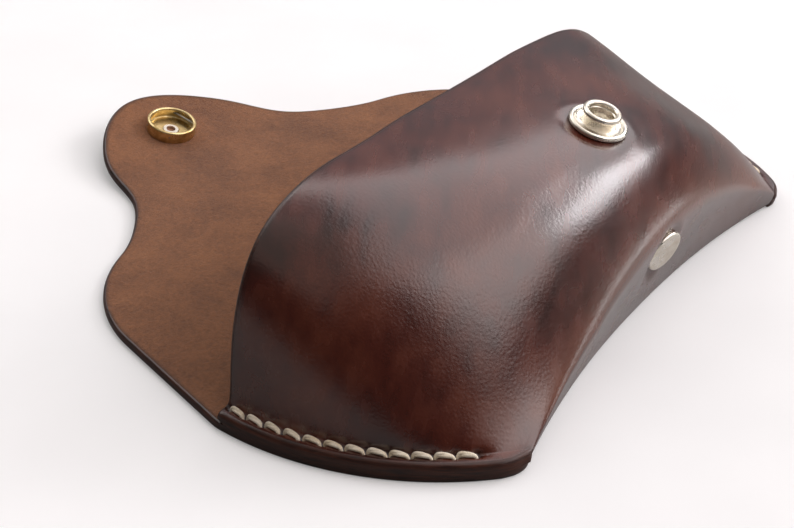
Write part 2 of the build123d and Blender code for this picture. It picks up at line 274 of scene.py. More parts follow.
@dataclass(frozen=True)
class Pattern:
    """The case's driving sizes, the same as in the solids, in millimetres."""

    leather: float = 2.0
    pouch_depth: float = 52.0
    widest_half: float = 83.0
    side_radius: float = 57.5
    side_centre_y: float = 45.0
    shoulder: tuple[float, float] = (72.3, 82.0)
    waist: tuple[float, float] = (50.0, 103.7)
    tip: tuple[tuple[float, float], ...] = ((37.0, 110.8), (28.5, 119.5), (23.8, 130.0), (16.0, 139.5), (0.0, 146.0))
    arc_points: int = 25
    rise_margin: float = 3.7
    crest_depths: tuple[float, ...] = (-4.0, 3.0, 10.0, 17.0, 25.0, 34.0, 43.0, 52.0)
    crest_heights: tuple[float, ...] = (12.5, 23.9, 33.2, 36.9, 38.9, 39.8, 39.9, 39.4)
    crest_slant: float = 0.03
    near_flank: tuple[float, ...] = (1.6, 7.6, 0.95, 2.45, 1.4)
    far_flank: tuple[float, ...] = (1.7, 4.3, 1.18, 1.35, 4.0)
    crease_between: tuple[float, float] = (-3.9, 20.0)
    halvings: int = 40
    bottom_bow: float = 6.5
    bottom_power: float = 2.2
    bottom_lean: float = 0.25
    bottom_lift: float = 0.3
    corner_radius: float = 3.0
    stitch_margin: float = 2.5
    stitch_pitch: float = 3.9
    stitch_count: int = 12
    first_hole_y: float = 50.6
    spine_start: float = 54.7
    spine_length: float = 42.8
    tongue_straight: float = 17.0
    tongue_radius: float = 86.0
    stud_tilt: float = 14.0
    shut_gap: float = 4.3
    socket_turn: float = 12.0
    rivet_height: float = 15.0
    rivet_turn: float = 12.0
    rivet_seat: float = 0.6
    rivet_grip: float = 3.2

    def side_half_width(self, y: np.ndarray | float) -> np.ndarray:
        """Half width of the pouch's plan at a depth."""
        across = np.sqrt(self.side_radius**2 - (np.asarray(y, float) - self.side_centre_y) ** 2)
        return self.widest_half - self.side_radius + across

    def arch_share(self, u: np.ndarray, y: np.ndarray) -> np.ndarray:
        """Share of the crest's height, for u from -1 at the near foot to 1 at the far foot."""
        flank = np.where(u[..., None] < 0, np.array(self.near_flank), np.array(self.far_flank))
        depth = np.clip(y / self.pouch_depth, 0.0, None) ** flank[..., 4]
        power = flank[..., 0] + (flank[..., 1] - flank[..., 0]) * depth
        root = flank[..., 2] + (flank[..., 3] - flank[..., 2]) * depth
        return np.clip(1.0 - np.abs(u) ** power, 0.0, None) ** (1.0 / root)

    def arch_point(self, u: np.ndarray, y: np.ndarray) -> np.ndarray:
        """Points of the front's outer face.

        Args:
            u: Places across the arch, from -1 to 1.
            y: Depths from the bottom corners.

        Returns:
            The points, with x, y and z last.
        """
        across, depth = np.broadcast_arrays(np.asarray(u, float), np.asarray(y, float))
        half = self.side_half_width(depth) - self.rise_margin
        foot = 2 * self.leather
        crest = hermite(depth, self.crest_depths, self.crest_heights) - self.crest_slant * across * half
        height = foot + (crest - foot) * self.arch_share(across, depth)
        return np.stack([across * half, depth, height], axis=-1)

    def bottom_face_y(self, x: np.ndarray, z: np.ndarray | float, inset: float = 0.0) -> np.ndarray:
        """Depth of the bottom's face at x and z, set into the pouch by inset."""
        bow = self.bottom_bow * (1.0 - np.abs(x / float(self.side_half_width(0.0))) ** self.bottom_power)
        return bow + inset - self.bottom_lean * (z - 2 * self.leather)

    def corner_cut(self, inward: np.ndarray | float) -> np.ndarray:
        """How far a rounded bottom corner takes the edge back, at a distance from the stitched edge."""
        left = np.clip(self.corner_radius - np.asarray(inward, float), 0.0, self.corner_radius)
        return self.corner_radius - np.sqrt(self.corner_radius**2 - left**2)

    def crease_y(self, u: np.ndarray) -> np.ndarray:
        """Depth where the front's outer face meets the bottom's face."""
        low, high = (np.full_like(u, depth) for depth in self.crease_between)
        for _ in range(self.halvings):
            middle = (low + high) / 2
            point = self.arch_point(u, middle)
            outside = middle < self.bottom_face_y(point[..., 0], point[..., 2])
            low, high = np.where(outside, middle, low), np.where(outside, high, middle)
        return (low + high) / 2

    def flap_outline(self) -> np.ndarray:
        """Half outline of the flap from the mouth to the tip: shoulder line, corner arc and ogee."""
        root = np.array([float(self.side_half_width(self.pouch_depth)), self.pouch_depth])
        shoulder, waist = np.array(self.shoulder), np.array(self.waist)
        along = (shoulder - root) / np.linalg.norm(shoulder - root)
        inward = np.array([-along[1], along[0]])
        chord = waist - shoulder
        radius = chord @ chord / (2 * chord @ inward)
        turn = 2 * math.atan2(chord @ inward, chord @ along)
        angles = np.linspace(0.0, turn, self.arc_points)[:, None]
        arc = shoulder + radius * (np.sin(angles) * along + (1 - np.cos(angles)) * inward)
        end = math.cos(turn) * along + math.sin(turn) * inward
        ogee = fit_spline(np.vstack([waist, np.array(self.tip)]), end, np.array([-1.0, 0.0]))
        return np.concatenate([[root], arc, ogee[1:]])

    def seam_point(self, hole: float, end: End) -> np.ndarray:
        """Plan place on the row of awl holes, counted from the hole by the mouth."""
        radius = self.side_radius - self.stitch_margin
        start = math.asin((self.first_hole_y - self.side_centre_y) / radius)
        turn = start - hole * self.stitch_pitch / radius
        x = self.widest_half - self.side_radius + radius * math.cos(turn)
        return np.array([end.value * x, self.side_centre_y + radius * math.sin(turn)])

    def socket_place(self) -> Matrix:
        """Where the snap socket sits on the open tongue, in the pattern's frame."""
        turn = math.radians(self.socket_turn)
        inner = self.tongue_radius - self.leather
        y = self.spine_start + self.spine_length + self.tongue_straight + inner * math.sin(turn)
        place = Vector((0.0, y, self.tongue_radius - inner * math.cos(turn)))
        return Matrix.Translation(place) @ Matrix.Rotation(turn, 4, "X")

    def stud_place(self) -> Matrix:
        """Where the stud sits on the front, so that the socket comes down square on it."""
        socket = self.socket_place().translation
        arm_y, arm_z = socket.y - self.spine_start - self.spine_length, socket.z - self.leather
        turn = math.radians(180 + self.stud_tilt - self.socket_turn)
        y = self.spine_start + arm_y * math.cos(turn) - arm_z * math.sin(turn)
        z = self.leather + self.spine_length + arm_y * math.sin(turn) + arm_z * math.cos(turn)
        tilt = Matrix.Rotation(math.radians(self.stud_tilt), 4, "X")
        return Matrix.Translation((0.0, y, z)) @ tilt @ Matrix.Translation((0.0, 0.0, -self.shut_gap))

    def rivet_place(self) -> Matrix:
        """Where the rivet's cap sits on the bottom, turned a little towards the near end."""
        lean = math.pi / 2 + math.atan(self.bottom_lean)
        y = float(self.bottom_face_y(np.array(0.0), self.rivet_height))
        turn = Matrix.Rotation(math.radians(-self.rivet_turn), 4, "Y")
        on_face = Matrix.Translation((0.0, y, self.rivet_height)) @ Matrix.Rotation(lean, 4, "X")
        return on_face @ turn @ Matrix.Translation((0.0, 0.0, -self.rivet_seat))


PATTERN = Pattern()


def press_seat(points: np.ndarray, place: Matrix, radius: float, reach: float) -> np.ndarray:
    """Presses a flat seat for a metal part into a leather surface.

    Args:
        points: The surface's points.
        place: The part's place, whose own z = 0 is the seat.
        radius: Radius of the flat.
        reach: Radius at which the leather is back in its own place.

    Returns:
        The moved points.
    """
    inverse = np.array(place.inverted())
    local = points @ inverse[:3, :3].T + inverse[:3, 3]
    away = np.hypot(local[..., 0], local[..., 1])
    weight = (1.0 - smoothstep(radius, reach, away)) * (np.abs(local[..., 2]) < reach)
    return points - (weight * local[..., 2])[..., None] * np.array(place)[:3, 2]


@dataclass(frozen=True)
class SeamDents:
    """Stitching groove and awl holes along both seams of a sheet, and the shade painted into them."""

    groove: float
    pit: float
    groove_width: float = 0.75
    pit_width: float = 0.55
    shade_width: float = 0.8
    groove_shade: float = 0.35
    pit_shade: float = 0.95
    overrun: float = 0.4
    line_points: int = 260
    highest: float = 8.0

    def press(self, points: np.ndarray) -> tuple[np.ndarray, np.ndarray]:
        """Finds the dents of a net.

        Args:
            points: The net's points.

        Returns:
            How deep each point is pressed, and how much painted shade it gets in the holes and along the groove, from
            0 to 1.
        """
        depth, dark = np.zeros(len(points)), np.zeros(len(points))
        close = points[:, 2] < self.highest
        last = PATTERN.stitch_count
        places = (np.linspace(-self.overrun, last + self.overrun, self.line_points), range(last + 1))
        for end in End:
            to_line, to_hole = (
                nearest(points[close, :2], np.array([PATTERN.seam_point(place, end) for place in row]))
                for row in places
            )
            pressed = self.groove * bell(to_line, self.groove_width) + self.pit * bell(to_hole, self.pit_width)
            depth[close] = np.maximum(depth[close], pressed)
            # Painted shade: darkest in the awl holes, fainter along the stitching groove
            hole_shade = self.pit_shade * bell(to_hole, self.shade_width)
            shade = np.maximum(hole_shade, self.groove_shade * bell(to_line, self.shade_width))
            dark[close] = np.maximum(dark[close], shade)
        return depth, dark


def store(mesh: bpy.types.Mesh, label: str, values: np.ndarray) -> None:
    """Keeps a number or a vector for each point of a mesh, for its materials."""
    vector = values.ndim == 2
    attribute = mesh.attributes.new(label, "FLOAT_VECTOR" if vector else "FLOAT", "POINT")
    attribute.data.foreach_set("vector" if vector else "value", values.astype(np.float32).ravel())


def make_object(
    name: str, vertices: np.ndarray, faces: np.ndarray | Sequence[Sequence[int]], sharp: float = 75.0
) -> bpy.types.Object:
    """Makes a smooth-shaded object in metres and in the row frame.

    Args:
        name: The object's name.
        vertices: Points in millimetres in the pattern's frame.
        faces: The faces' point numbers.
        sharp: Edges that turn more than this many degrees stay sharp.

    Returns:
        The new object, whose mesh remembers each point's place in millimetres.
    """
    mesh = bpy.data.meshes.new(name)
    placed = (np.asarray(vertices, float) - [0.0, HALF_LENGTH, 0.0]) * MM
    mesh.from_pydata(placed.tolist(), [], [list(map(int, face)) for face in faces])
    mesh.update()
    mesh.polygons.foreach_set("use_smooth", [True] * len(mesh.polygons))
    mesh.set_sharp_from_angle(angle=math.radians(sharp))
    store(mesh, "place_mm", np.asarray(vertices, float))
    return add_object(name, mesh)


@dataclass
class LeatherSheet:
    """A sheet of leather of real thickness, built from a net of quads on its grain side."""

    name: str
    points: np.ndarray
    quads: np.ndarray
    thickness: float = PATTERN.leather
    bulge: float = 1.0
    rim_steps: int = 8
    dent: np.ndarray | None = None
    butt: np.ndarray | None = None
    joined: np.ndarray | None = None
    marks: dict[str, np.ndarray] = field(default_factory=dict)

    def normals(self) -> np.ndarray:
        """Normals of the net's points, out of the grain side."""
        p = self.points[self.quads]
        face = np.cross(p[:, 2] - p[:, 0], p[:, 3] - p[:, 1])
        total = np.zeros_like(self.points)
        for k in range(4):
            np.add.at(total, self.quads[:, k], face)
        return total / np.maximum(np.linalg.norm(total, axis=1, keepdims=True), 1e-12)

    def boundary(self) -> np.ndarray:
        """Directed edges of the net that belong to one quad only."""
        edges = np.concatenate([self.quads[:, [k, (k + 1) % 4]] for k in range(4)]).tolist()
        seen = {(a, b) for a, b in edges}
        return np.array([(a, b) for a, b in edges if (b, a) not in seen])

    def rim_rows(self, border: np.ndarray, normal: np.ndarray, inner: np.ndarray) -> list[np.ndarray]:
        """Rows of points that round the cut edge off.

        A butted edge stays flat. An edge sewn to another layer is rounded on the grain side only, so that the two
        burnished layers read as one edge.

        Args:
            border: Directed edges round the net.
            normal: Normals of the net's points.
            inner: The net's points moved to the flesh side.

        Returns:
            The rows from the grain side to the flesh side, in the order of the edge's point numbers.
        """
        outward = np.zeros_like(self.points)
        for a, b in border:
            if self.butt is None or not (self.butt[a] and self.butt[b]):
                across = np.cross(self.points[b] - self.points[a], (normal[a] + normal[b]) / 2)
                outward[a] += across
                outward[b] += across
        rim = np.unique(border)
        flat = normal[rim]
        out = outward[rim] - flat * np.sum(outward[rim] * flat, axis=1, keepdims=True)
        out /= np.maximum(np.linalg.norm(out, axis=1, keepdims=True), 1e-9)
        sewn = np.zeros((len(rim), 1)) if self.joined is None else self.joined[rim][:, None]
        middle, half = (self.points[rim] + inner[rim]) / 2, self.thickness / 2
        rows = []
        for step in range(1, self.rim_steps):
            turn = math.pi * step / self.rim_steps
            whole = middle + flat * half * math.cos(turn) + out * self.bulge * math.sin(turn)
            turn = math.pi / 2 * step / (self.rim_steps - 1)
            quarter = inner[rim] + flat * self.thickness * math.cos(turn) + out * self.bulge * math.sin(turn)
            rows.append(whole + (quarter - whole) * sewn)
        return rows

    def build(self, finishes: Sequence[bpy.types.Material]) -> bpy.types.Object:
        """Makes the solid sheet: grain side, flesh side and rounded edges.

        Args:
            finishes: Materials in the order of Side.

        Returns:
            The new object.
        """
        count, normal, border = len(self.points), self.normals(), self.boundary()
        inner = self.points - normal * self.thickness
        rim = np.unique(border)
        rows = self.rim_rows(border, normal, inner)
        grain = self.points - normal * (0.0 if self.dent is None else self.dent[:, None])
        place = {int(v): i for i, v in enumerate(rim)}

        def number(vertex: int, step: int) -> int:
            """Number of the rim's point beside a net point, from the grain side to the flesh side."""
            if step in (0, self.rim_steps):
                return vertex + (count if step else 0)
            return 2 * count + (step - 1) * len(rim) + place[vertex]

        edge = [
            (number(b, s), number(a, s), number(a, s + 1), number(b, s + 1))
            for a, b in border.tolist()
            for s in range(self.rim_steps)
        ]
        faces = np.concatenate([self.quads, self.quads[:, ::-1] + count, np.array(edge)])
        made = make_object(self.name, np.concatenate([grain, inner, *rows]), faces)
        for finish in finishes:
            made.data.materials.append(finish)
        counts = {Side.GRAIN: len(self.quads), Side.FLESH: len(self.quads), Side.EDGE: len(edge)}
        slots = np.concatenate([np.full(total, side.value) for side, total in counts.items()])
        made.data.polygons.foreach_set("material_index", slots)
        cut = rim if self.butt is None else rim[~self.butt[rim]]
        for label, values in {"edge_mm": nearest(self.points, self.points[cut]), **self.marks}.items():
            on_rim = np.tile(values[rim], self.rim_steps - 1)
            store(made.data, label, np.concatenate([values, values, on_rim]))
        return made


@dataclass(frozen=True)
class Finish:
    """A material with the shared start of every finish."""

    name: str

    def start(self) -> tuple[bpy.types.Material, bpy.types.NodeTree, bpy.types.Node]:
        """Makes an empty material.

        Returns:
            The material, its node tree and its output node.
        """
        material = bpy.data.materials.new(self.name)
        material.use_nodes = True
        material.node_tree.nodes.clear()
        return material, material.node_tree, add_node(material.node_tree, "ShaderNodeOutputMaterial")


@dataclass(frozen=True)
class WaxedGrain(Finish):
    """Vegetable-tanned cowhide, hand dyed and waxed on its grain side.

    Wax fills the pores, so the eye sees deep red-brown under a broad soft shine that greys where it catches the
    light, with fine creases where the hide was bent and darker dye near cuts. Shade is painted darker into the awl
    holes and the stitching groove, and the crease's ridge is painted lighter, partly as wear and partly as a
    highlight.
    """

    name: str = "waxed_vegetable_tanned_grain"
    deep: str = "#300F07"
    middle: str = "#4C1C0F"
    light: str = "#602C1A"
    # Lighter colour of the crease's ridge: partly wear, partly a painted highlight
    ridge_wear_and_highlight: str = "#8A6252"
    burnish: str = "#1E0C08"
    pore_mm: float = 0.6  # real pores are about 0.3 mm, drawn coarser so that they show
    pore_depth: float = 0.00005
    crease_mm: float = 0.45  # across a crease, which is nine times as long
    crease_shape: tuple[float, float, float] = (9.0, 1.0, 1.0)
    crease_turn: float = 1.27
    crease_depth: float = 0.000045
    cloud_mm: float = 26.0
    streak_mm: float = 5.0
    streak_shape: tuple[float, float, float] = (3.0, 0.7, 1.0)
    streak_turn: float = 0.5
    dyed_edge_mm: float = 1.3

    def material(self) -> bpy.types.Material:
        """Builds the material."""
        material, tree, output = self.start()
        place = add_node(tree, "ShaderNodeAttribute", {"attribute_name": "place_mm"}).outputs["Vector"]
        edge, hole, ridge, flex = (
            add_node(tree, "ShaderNodeAttribute", {"attribute_name": mark}).outputs["Fac"]
            for mark in ("edge_mm", "hole", "ridge", "flex")
        )
        along_streaks, along_creases = (
            add_node(
                tree,
                "ShaderNodeMapping",
                {"vector_type": "TEXTURE", "Rotation": (0.0, 0.0, turn), "Scale": shape},
                {"Vector": place},
            ).outputs["Vector"]
            for turn, shape in ((self.streak_turn, self.streak_shape), (self.crease_turn, self.crease_shape))
        )
        cloud = add_node(
            tree,
            "ShaderNodeTexNoise",
            {"Scale": 1 / self.cloud_mm, "Detail": 4.0, "Roughness": 0.55},
            {"Vector": place},
        ).outputs["Fac"]
        streak = add_node(
            tree,
            "ShaderNodeTexNoise",
            {"Scale": 1 / self.streak_mm, "Detail": 3.0, "Roughness": 0.5},
            {"Vector": along_streaks},
        ).outputs["Fac"]
        dye = add_node(
            tree, "ShaderNodeMix", {"data_type": "FLOAT", "Factor": 0.35}, {"A": cloud, "B": streak}
        ).outputs["Result"]
        dyes = ((0.37, self.deep), (0.5, self.middle), (0.64, self.light))
        dyed = add_node(tree, "ShaderNodeValToRGB", {"stops": dyes}, {"Fac": dye}).outputs["Color"]
        # The crease's ridge is painted lighter: partly wear, partly a painted highlight
        rubbed = add_node(tree, "ShaderNodeMath", {"operation": "MULTIPLY", 1: 0.4}, {0: ridge}).outputs["Value"]
        ridge_wear_and_highlight = add_node(
            tree, "ShaderNodeMix", {"data_type": "RGBA", 7: linear(self.ridge_wear_and_highlight)}, {0: rubbed, 6: dyed}
        ).outputs[2]
        rim = add_node(
            tree,
            "ShaderNodeMapRange",
            {
                "From Min": 0.0,
                "From Max": self.dyed_edge_mm,
                "To Min": 0.45,
                "To Max": 0.0,
                "interpolation_type": "SMOOTHSTEP",
            },
            {"Value": edge},
        ).outputs["Result"]
        # Dye on the cut edges, and painted shade in the awl holes and stitching groove
        dark = add_node(tree, "ShaderNodeMath", {"operation": "MAXIMUM"}, {0: rim, 1: hole}).outputs["Value"]
        colour = add_node(
            tree, "ShaderNodeMix", {"data_type": "RGBA", 7: linear(self.burnish)}, {0: dark, 6: ridge_wear_and_highlight}
        ).outputs[2]
        pores = add_node(
            tree,
            "ShaderNodeTexVoronoi",
            {"feature": "SMOOTH_F1", "Scale": 1 / self.pore_mm, "Smoothness": 0.6},
            {"Vector": place},
        ).outputs["Distance"]
        creases = add_node(
            tree,
            "ShaderNodeTexNoise",
            {"Scale": 1 / self.crease_mm, "Detail": 3.0, "Roughness": 0.55, "Distortion": 0.12},
            {"Vector": along_creases},
        ).outputs["Fac"]
        where = add_node(
            tree,
            "ShaderNodeMapRange",
            {"From Min": 0.0, "From Max": 1.0, "To Min": 0.22, "To Max": 1.0},
            {"Value": flex},
        ).outputs["Result"]
        creased = add_node(
            tree, "ShaderNodeBump", {"Distance": self.crease_depth}, {"Height": creases, "Strength": where}
        ).outputs["Normal"]
        grained = add_node(
            tree,
            "ShaderNodeBump",
            {"Distance": self.pore_depth, "Strength": 0.6},
            {"Height": pores, "Normal": creased},
        ).outputs["Normal"]
        rough = add_node(
            tree,
            "ShaderNodeMapRange",
            {"From Min": 0.3, "From Max": 0.7, "To Min": 0.21, "To Max": 0.3},
            {"Value": streak},
        ).outputs["Result"]
        shader = add_node(
            tree,
            "ShaderNodeBsdfPrincipled",
            {"IOR": 1.5, "Coat Weight": 0.85, "Coat Roughness": 0.24},
            {"Base Color": colour, "Roughness": rough, "Normal": grained, "Coat Normal": creased},
        )
        tree.links.new(shader.outputs["BSDF"], output.inputs["Surface"])
        return material


@dataclass(frozen=True)
class SuedeFlesh(Finish):
    """Flesh side of the same hide, skived and brushed: loose fibre that scatters light and hides all shine."""

    name: str = "brushed_flesh_side"
    light: str = "#8F5C36"
    dark: str = "#5E371E"
    rubbed: str = "#2B140D"
    fibre_mm: float = 0.8  # real fibres are finer, drawn coarser so that they show
    fibre_depth: float = 0.0004
    patch_mm: float = 14.0

    def material(self) -> bpy.types.Material:
        """Builds the material."""
        material, tree, output = self.start()
        place = add_node(tree, "ShaderNodeAttribute", {"attribute_name": "place_mm"}).outputs["Vector"]
        edge = add_node(tree, "ShaderNodeAttribute", {"attribute_name": "edge_mm"}).outputs["Fac"]
        patch = add_node(
            tree,
            "ShaderNodeTexNoise",
            {"Scale": 1 / self.patch_mm, "Detail": 7.0, "Roughness": 0.66},
            {"Vector": place},
        ).outputs["Fac"]
        fibre = add_node(
            tree,
            "ShaderNodeTexNoise",
            {"Scale": 1 / self.fibre_mm, "Detail": 6.0, "Roughness": 0.75, "Distortion": 0.8},
            {"Vector": place},
        ).outputs["Fac"]
        mixed = add_node(
            tree, "ShaderNodeMix", {"data_type": "FLOAT", "Factor": 0.55}, {"A": patch, "B": fibre}
        ).outputs["Result"]
        browns = ((0.36, self.dark), (0.62, self.light))
        brushed = add_node(tree, "ShaderNodeValToRGB", {"stops": browns}, {"Fac": mixed}).outputs["Color"]
        rim = add_node(
            tree,
            "ShaderNodeMapRange",
            {"From Min": 0.0, "From Max": 1.0, "To Min": 0.6, "To Max": 0.0, "interpolation_type": "SMOOTHSTEP"},
            {"Value": edge},
        ).outputs["Result"]
        colour = add_node(
            tree, "ShaderNodeMix", {"data_type": "RGBA", 7: linear(self.rubbed)}, {0: rim, 6: brushed}
        ).outputs[2]
        bump = add_node(
            tree, "ShaderNodeBump", {"Distance": self.fibre_depth, "Strength": 1.0}, {"Height": fibre}
        ).outputs["Normal"]
        shader = add_node(
            tree,
            "ShaderNodeBsdfPrincipled",
            {"IOR": 1.45, "Roughness": 0.92, "Sheen Weight": 0.12, "Sheen Roughness": 0.6},
            {"Base Color": colour, "Normal": bump},
        )
        tree.links.new(shader.outputs["BSDF"], output.inputs["Surface"])
        return material


@dataclass(frozen=True)
class BurnishedEdge(Finish):
    """Cut edge of the hide, dyed and rubbed with wax: near black, smooth, with faint long streaks."""

    name: str = "burnished_edge"
    dark: str = "#24100A"
    light: str = "#4E281A"
    layers: tuple[float, float, float] = (0.2, 0.2, 2.2)
    streak_depth: float = 0.0002

    def material(self) -> bpy.types.Material:
        """Builds the material."""
        material, tree, output = self.start()
        place = add_node(tree, "ShaderNodeAttribute", {"attribute_name": "place_mm"}).outputs["Vector"]
        layered = add_node(tree, "ShaderNodeMapping", {"Scale": self.layers}, {"Vector": place}).outputs["Vector"]
        streak = add_node(
            tree, "ShaderNodeTexNoise", {"Scale": 1.0, "Detail": 5.0, "Roughness": 0.6}, {"Vector": layered}
        ).outputs["Fac"]
        browns = ((0.35, self.dark), (0.7, self.light))
        colour = add_node(tree, "ShaderNodeValToRGB", {"stops": browns}, {"Fac": streak}).outputs["Color"]
        bump = add_node(
            tree, "ShaderNodeBump", {"Distance": self.streak_depth, "Strength": 0.4}, {"Height": streak}
        ).outputs["Normal"]
        shader = add_node(
            tree,
            "ShaderNodeBsdfPrincipled",
            {"IOR": 1.5, "Roughness": 0.36},
            {"Base Color": colour, "Normal": bump},
        )
        tree.links.new(shader.outputs["BSDF"], output.inputs["Surface"])
        return material


@dataclass(frozen=True)
class WaxedLinen(Finish):
    """Two-ply linen thread drawn through wax: cream, slightly glossy, fibrous, with soiled hollows."""

    name: str = "waxed_linen_thread"
    light: str = "#F2E9D6"
    dark: str = "#C9B593"
    fibre_mm: float = 0.22
    fibre_depth: float = 0.00008
    soil_mm: float = 3.2

    def material(self) -> bpy.types.Material:
        """Builds the material."""
        material, tree, output = self.start()
        place = add_node(tree, "ShaderNodeAttribute", {"attribute_name": "place_mm"}).outputs["Vector"]
        fuzz = add_node(
            tree,
            "ShaderNodeTexNoise",
            {"Scale": 1 / self.fibre_mm, "Detail": 4.0, "Roughness": 0.7},
            {"Vector": place},
        ).outputs["Fac"]
        soil = add_node(
            tree, "ShaderNodeTexNoise", {"Scale": 1 / self.soil_mm, "Detail": 3.0}, {"Vector": place}
        ).outputs["Fac"]
        mixed = add_node(
            tree, "ShaderNodeMix", {"data_type": "FLOAT", "Factor": 0.4}, {"A": soil, "B": fuzz}
        ).outputs["Result"]
        creams = ((0.32, self.dark), (0.6, self.light))
        colour = add_node(tree, "ShaderNodeValToRGB", {"stops": creams}, {"Fac": mixed}).outputs["Color"]
        bump = add_node(
            tree, "ShaderNodeBump", {"Distance": self.fibre_depth, "Strength": 0.7}, {"Height": fuzz}
        ).outputs["Normal"]
        shader = add_node(
            tree,
            "ShaderNodeBsdfPrincipled",
            {"IOR": 1.46, "Roughness": 0.6, "Sheen Weight": 0.15},
            {"Base Color": colour, "Normal": bump},
        )
        tree.links.new(shader.outputs["BSDF"], output.inputs["Surface"])
        return material


@dataclass(frozen=True)
class SheetMetal(Finish):
    """A pressed or drawn metal part: its colour, how smooth its surface is, and how far it has tarnished."""

    bright: str = "#F5F0E4"
    dull: str = "#DFD6C6"
    smooth: float = 0.24
    rough: float = 0.38
    patch_mm: float = 2.4
    scratch_mm: float = 0.35  # handling marks are finer than this, drawn coarser so that they show
    scratch_depth: float = 0.00001

    def material(self) -> bpy.types.Material:
        """Builds the material in object coordinates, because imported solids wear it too."""
        material, tree, output = self.start()
        place = add_node(tree, "ShaderNodeTexCoord").outputs["Object"]
        tarnish = add_node(
            tree,
            "ShaderNodeTexNoise",
            {"Scale": PER_METRE / self.patch_mm, "Detail": 4.0, "Roughness": 0.6},
            {"Vector": place},
        ).outputs["Fac"]
        scratch = add_node(
            tree,
            "ShaderNodeTexNoise",
            {"Scale": PER_METRE / self.scratch_mm, "Detail": 2.0, "Roughness": 0.5, "Distortion": 1.5},
            {"Vector": place},
        ).outputs["Fac"]
        metals = ((0.38, self.bright), (0.68, self.dull))
        colour = add_node(tree, "ShaderNodeValToRGB", {"stops": metals}, {"Fac": tarnish}).outputs["Color"]
        rough = add_node(
            tree,
            "ShaderNodeMapRange",
            {"From Min": 0.35, "From Max": 0.7, "To Min": self.smooth, "To Max": self.rough},
            {"Value": tarnish},
        ).outputs["Result"]
        bump = add_node(
            tree, "ShaderNodeBump", {"Distance": self.scratch_depth, "Strength": 0.3}, {"Height": scratch}
        ).outputs["Normal"]
        shader = add_node(
            tree,
            "ShaderNodeBsdfPrincipled",
            {"Metallic": 1.0},
            {"Base Color": colour, "Roughness": rough, "Normal": bump},
        )
        tree.links.new(shader.outputs["BSDF"], output.inputs["Surface"])
        return material


@dataclass(frozen=True)
class PaleSweep(Finish):
    """Paper sweep under the case: matt, with a faint unevenness.

    It is white where the camera sees it, and turns plain white further away. Reflections and bounced light see it
    dark grey, except for a patch in front of the bottom that reflections see white: a painted reflection, whose
    shine lands on the rivet and along the crease.
    """

    name: str = "matt_paper_sweep"
    grey: str = "#6E6C69"
    whites: tuple[tuple[float, str], ...] = ((0.3, "#F9F9F9"), (0.7, "#FEFEFE"))
    reflected: float = 0.14
    # Painted reflection: a patch of floor that reflections alone see white, with its place, share and reach
    painted_reflection_place: tuple[float, float, float] = (0.03, -0.14, 0.0)
    painted_reflection_share: float = 0.62
    painted_reflection_inner: float = 0.06
    painted_reflection_outer: float = 0.15
    plain_from: float = 0.15
    plain_to: float = 0.7
    plain_share: float = 0.2

    def material(self) -> bpy.types.Material:
        """Builds the material."""
        material, tree, output = self.start()
        place = add_node(tree, "ShaderNodeTexCoord").outputs["Object"]
        noise = add_node(tree, "ShaderNodeTexNoise", {"Scale": 30.0, "Detail": 3.0}, {"Vector": place}).outputs["Fac"]
        white = add_node(tree, "ShaderNodeValToRGB", {"stops": self.whites}, {"Fac": noise}).outputs["Color"]
        rays = add_node(tree, "ShaderNodeLightPath")
        # Painted reflection: reflections see the floor white near this patch, so the rivet and crease shine
        to_painted_reflection = add_node(tree, "ShaderNodeVectorMath", {"operation": "DISTANCE", 1: self.painted_reflection_place}, {0: place})
        away = add_node(tree, "ShaderNodeVectorMath", {"operation": "LENGTH"}, {0: place})
        painted_reflection, plain = (
            add_node(
                tree,
                "ShaderNodeMapRange",
                {
                    "From Min": low,
                    "From Max": high,
                    "To Min": first,
                    "To Max": last,
                    "interpolation_type": "SMOOTHSTEP",
                },
                {"Value": distance.outputs["Value"]},
            ).outputs["Result"]
            for distance, low, high, first, last in (
                (to_painted_reflection, self.painted_reflection_inner, self.painted_reflection_outer, self.painted_reflection_share, self.reflected),
                (away, self.plain_from, self.plain_to, self.plain_share, 1.0),
            )
        )
        mirrored = add_node(
            tree,
            "ShaderNodeMath",
            {"operation": "MULTIPLY_ADD"},
            {0: rays.outputs["Is Glossy Ray"], 1: painted_reflection, 2: rays.outputs["Is Camera Ray"]},
        ).outputs["Value"]
        seen = add_node(
            tree,
            "ShaderNodeMath",
            {"operation": "MAXIMUM"},
            {0: mirrored, 1: rays.outputs["Is Transmission Ray"]},
        ).outputs["Value"]
        colour = add_node(
            tree, "ShaderNodeMix", {"data_type": "RGBA", 6: linear(self.grey)}, {0: seen, 7: white}
        ).outputs[2]
        paper = add_node(tree, "ShaderNodeBsdfDiffuse", {"Roughness": 0.6}, {"Color": colour}).outputs["BSDF"]
        shown = add_node(
            tree, "ShaderNodeMath", {"operation": "MULTIPLY"}, {0: plain, 1: rays.outputs["Is Camera Ray"]}
        ).outputs["Value"]
        glow = add_node(tree, "ShaderNodeEmission", {"Color": WHITE, "Strength": 1.0})
        mix = add_node(tree, "ShaderNodeMixShader", {}, {0: shown, 1: paper, 2: glow.outputs["Emission"]})
        tree.links.new(mix.outputs["Shader"], output.inputs["Surface"])
        return material


